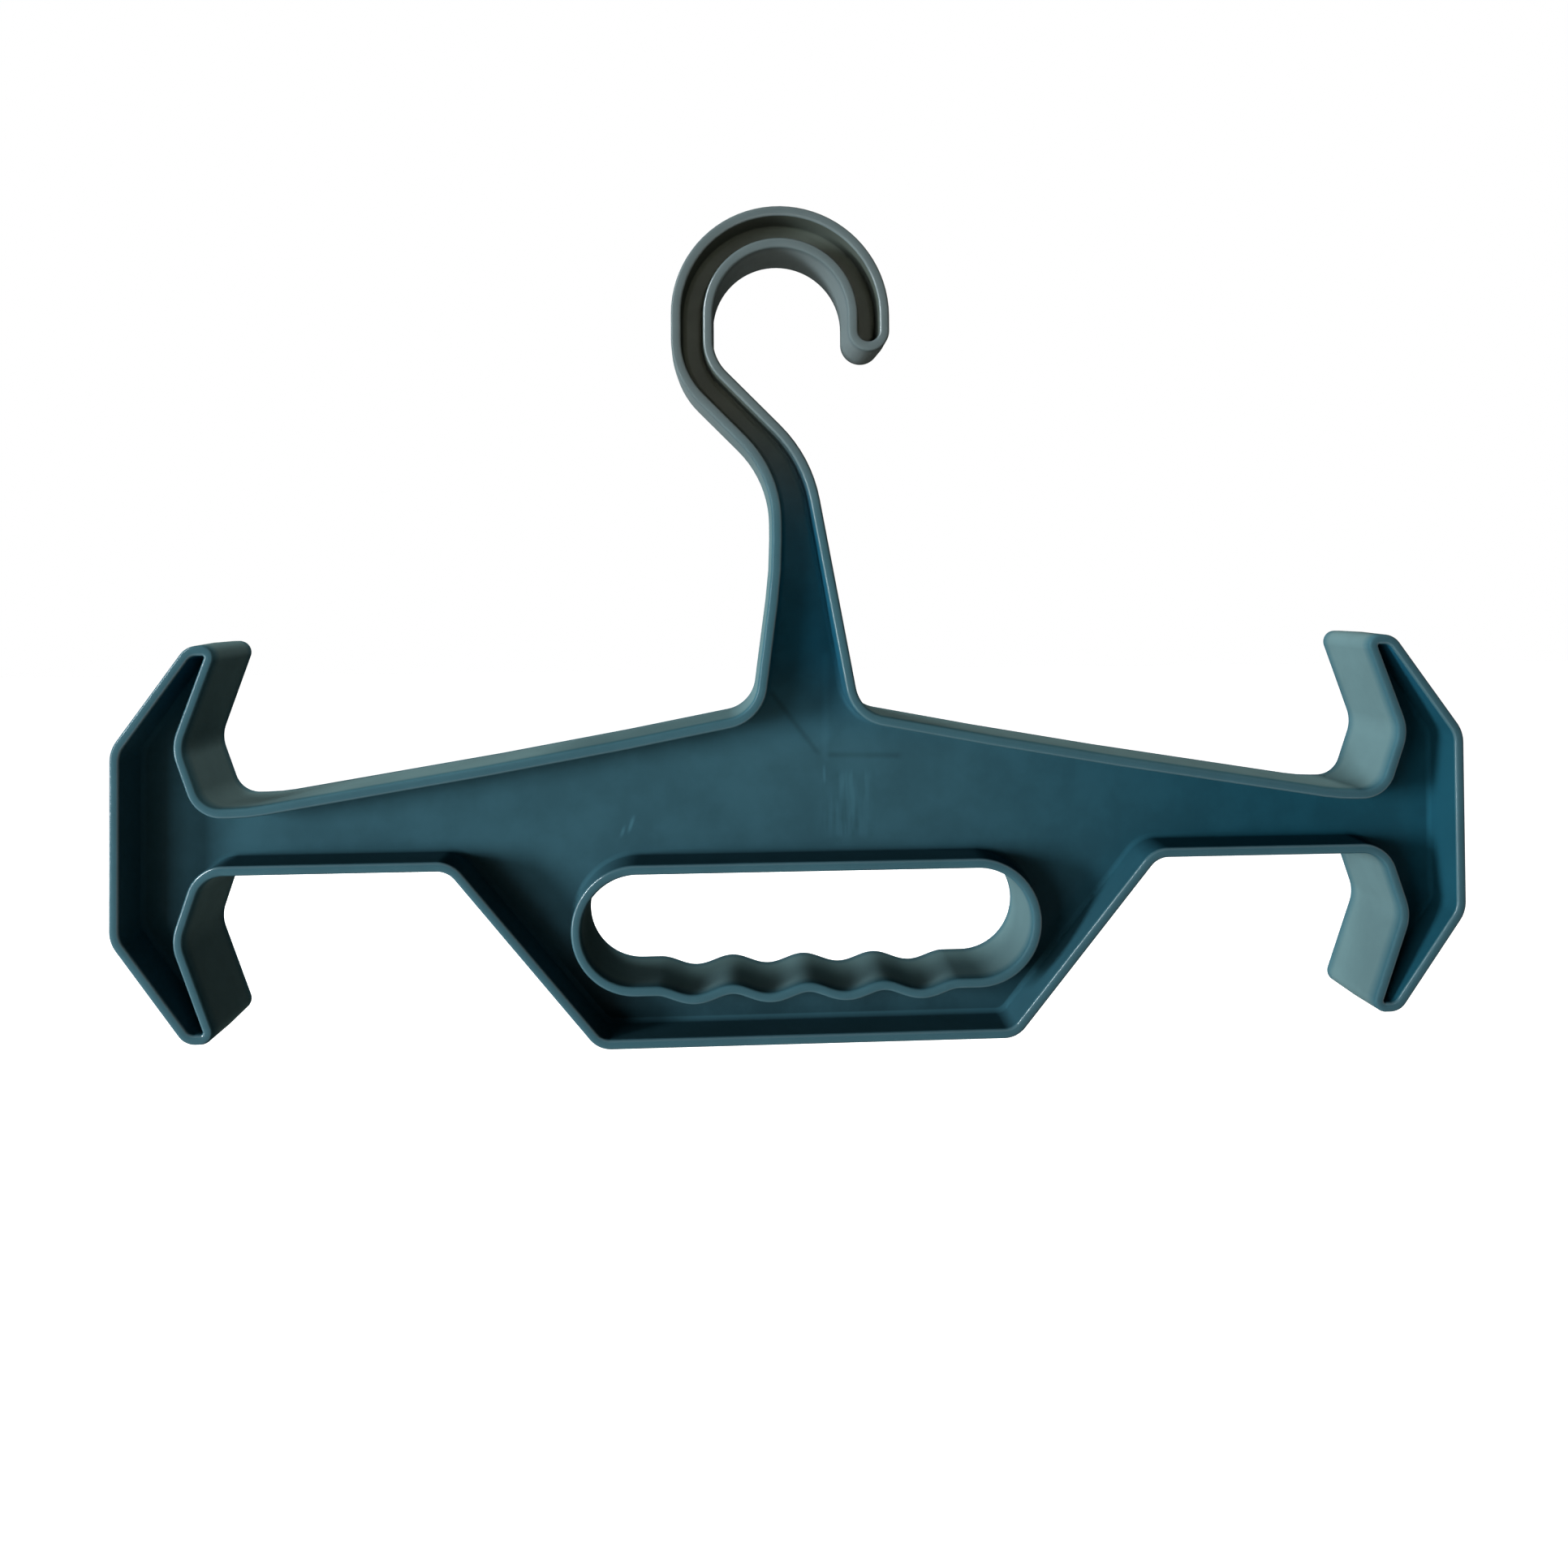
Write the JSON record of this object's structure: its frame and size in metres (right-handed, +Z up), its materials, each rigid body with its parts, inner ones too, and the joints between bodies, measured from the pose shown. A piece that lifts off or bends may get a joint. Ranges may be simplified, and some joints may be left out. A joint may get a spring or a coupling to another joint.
{
  "type": "wetsuit hanger",
  "caption": "Wide moulded hanger for wetsuits and heavy gear: I-section body with a top hook, sloping arms, notched end bars and a hand grip with finger grooves.",
  "frame": {"origin": "the hook's resting place: the middle of the top of the hook's inside, where it sits on a rail, halfway between front and back", "axes": "+X along the arms, to the right seen from the front; +Y from the front to the back, through the moulding's depth; +Z up"},
  "size_m": [0.4301, 0.0312, 0.2667],
  "materials": {
    "moulded_plastic": "dark teal, smooth satin moulded plastic"
  },
  "bodies": {
    "root": {"hook_outer_wall": "moulded_plastic", "hook_inner_wall": "moulded_plastic", "hook_tip_wall": "moulded_plastic", "hook_web": "moulded_plastic", "neck_left_wall": "moulded_plastic", "neck_right_wall": "moulded_plastic", "neck_web": "moulded_plastic", "left_arm_top_wall": "moulded_plastic", "left_arm_bottom_wall": "moulded_plastic", "left_arm_web": "moulded_plastic", "right_arm_top_wall": "moulded_plastic", "right_arm_bottom_wall": "moulded_plastic", "right_arm_web": "moulded_plastic", "left_bar_wall": "moulded_plastic", "left_upper_notch_wall": "moulded_plastic", "left_lower_notch_wall": "moulded_plastic", "left_bar_web": "moulded_plastic", "right_bar_wall": "moulded_plastic", "right_upper_notch_wall": "moulded_plastic", "right_lower_notch_wall": "moulded_plastic", "right_bar_web": "moulded_plastic", "left_flank_wall": "moulded_plastic", "right_flank_wall": "moulded_plastic", "bottom_wall": "moulded_plastic", "left_body_web": "moulded_plastic", "right_body_web": "moulded_plastic", "upper_body_web": "moulded_plastic", "lower_body_web": "moulded_plastic", "grip_top_wall": "moulded_plastic", "grip_left_end_wall": "moulded_plastic", "grip_right_end_wall": "moulded_plastic", "grip_finger_wall": "moulded_plastic"}
  },
  "joints": []
}
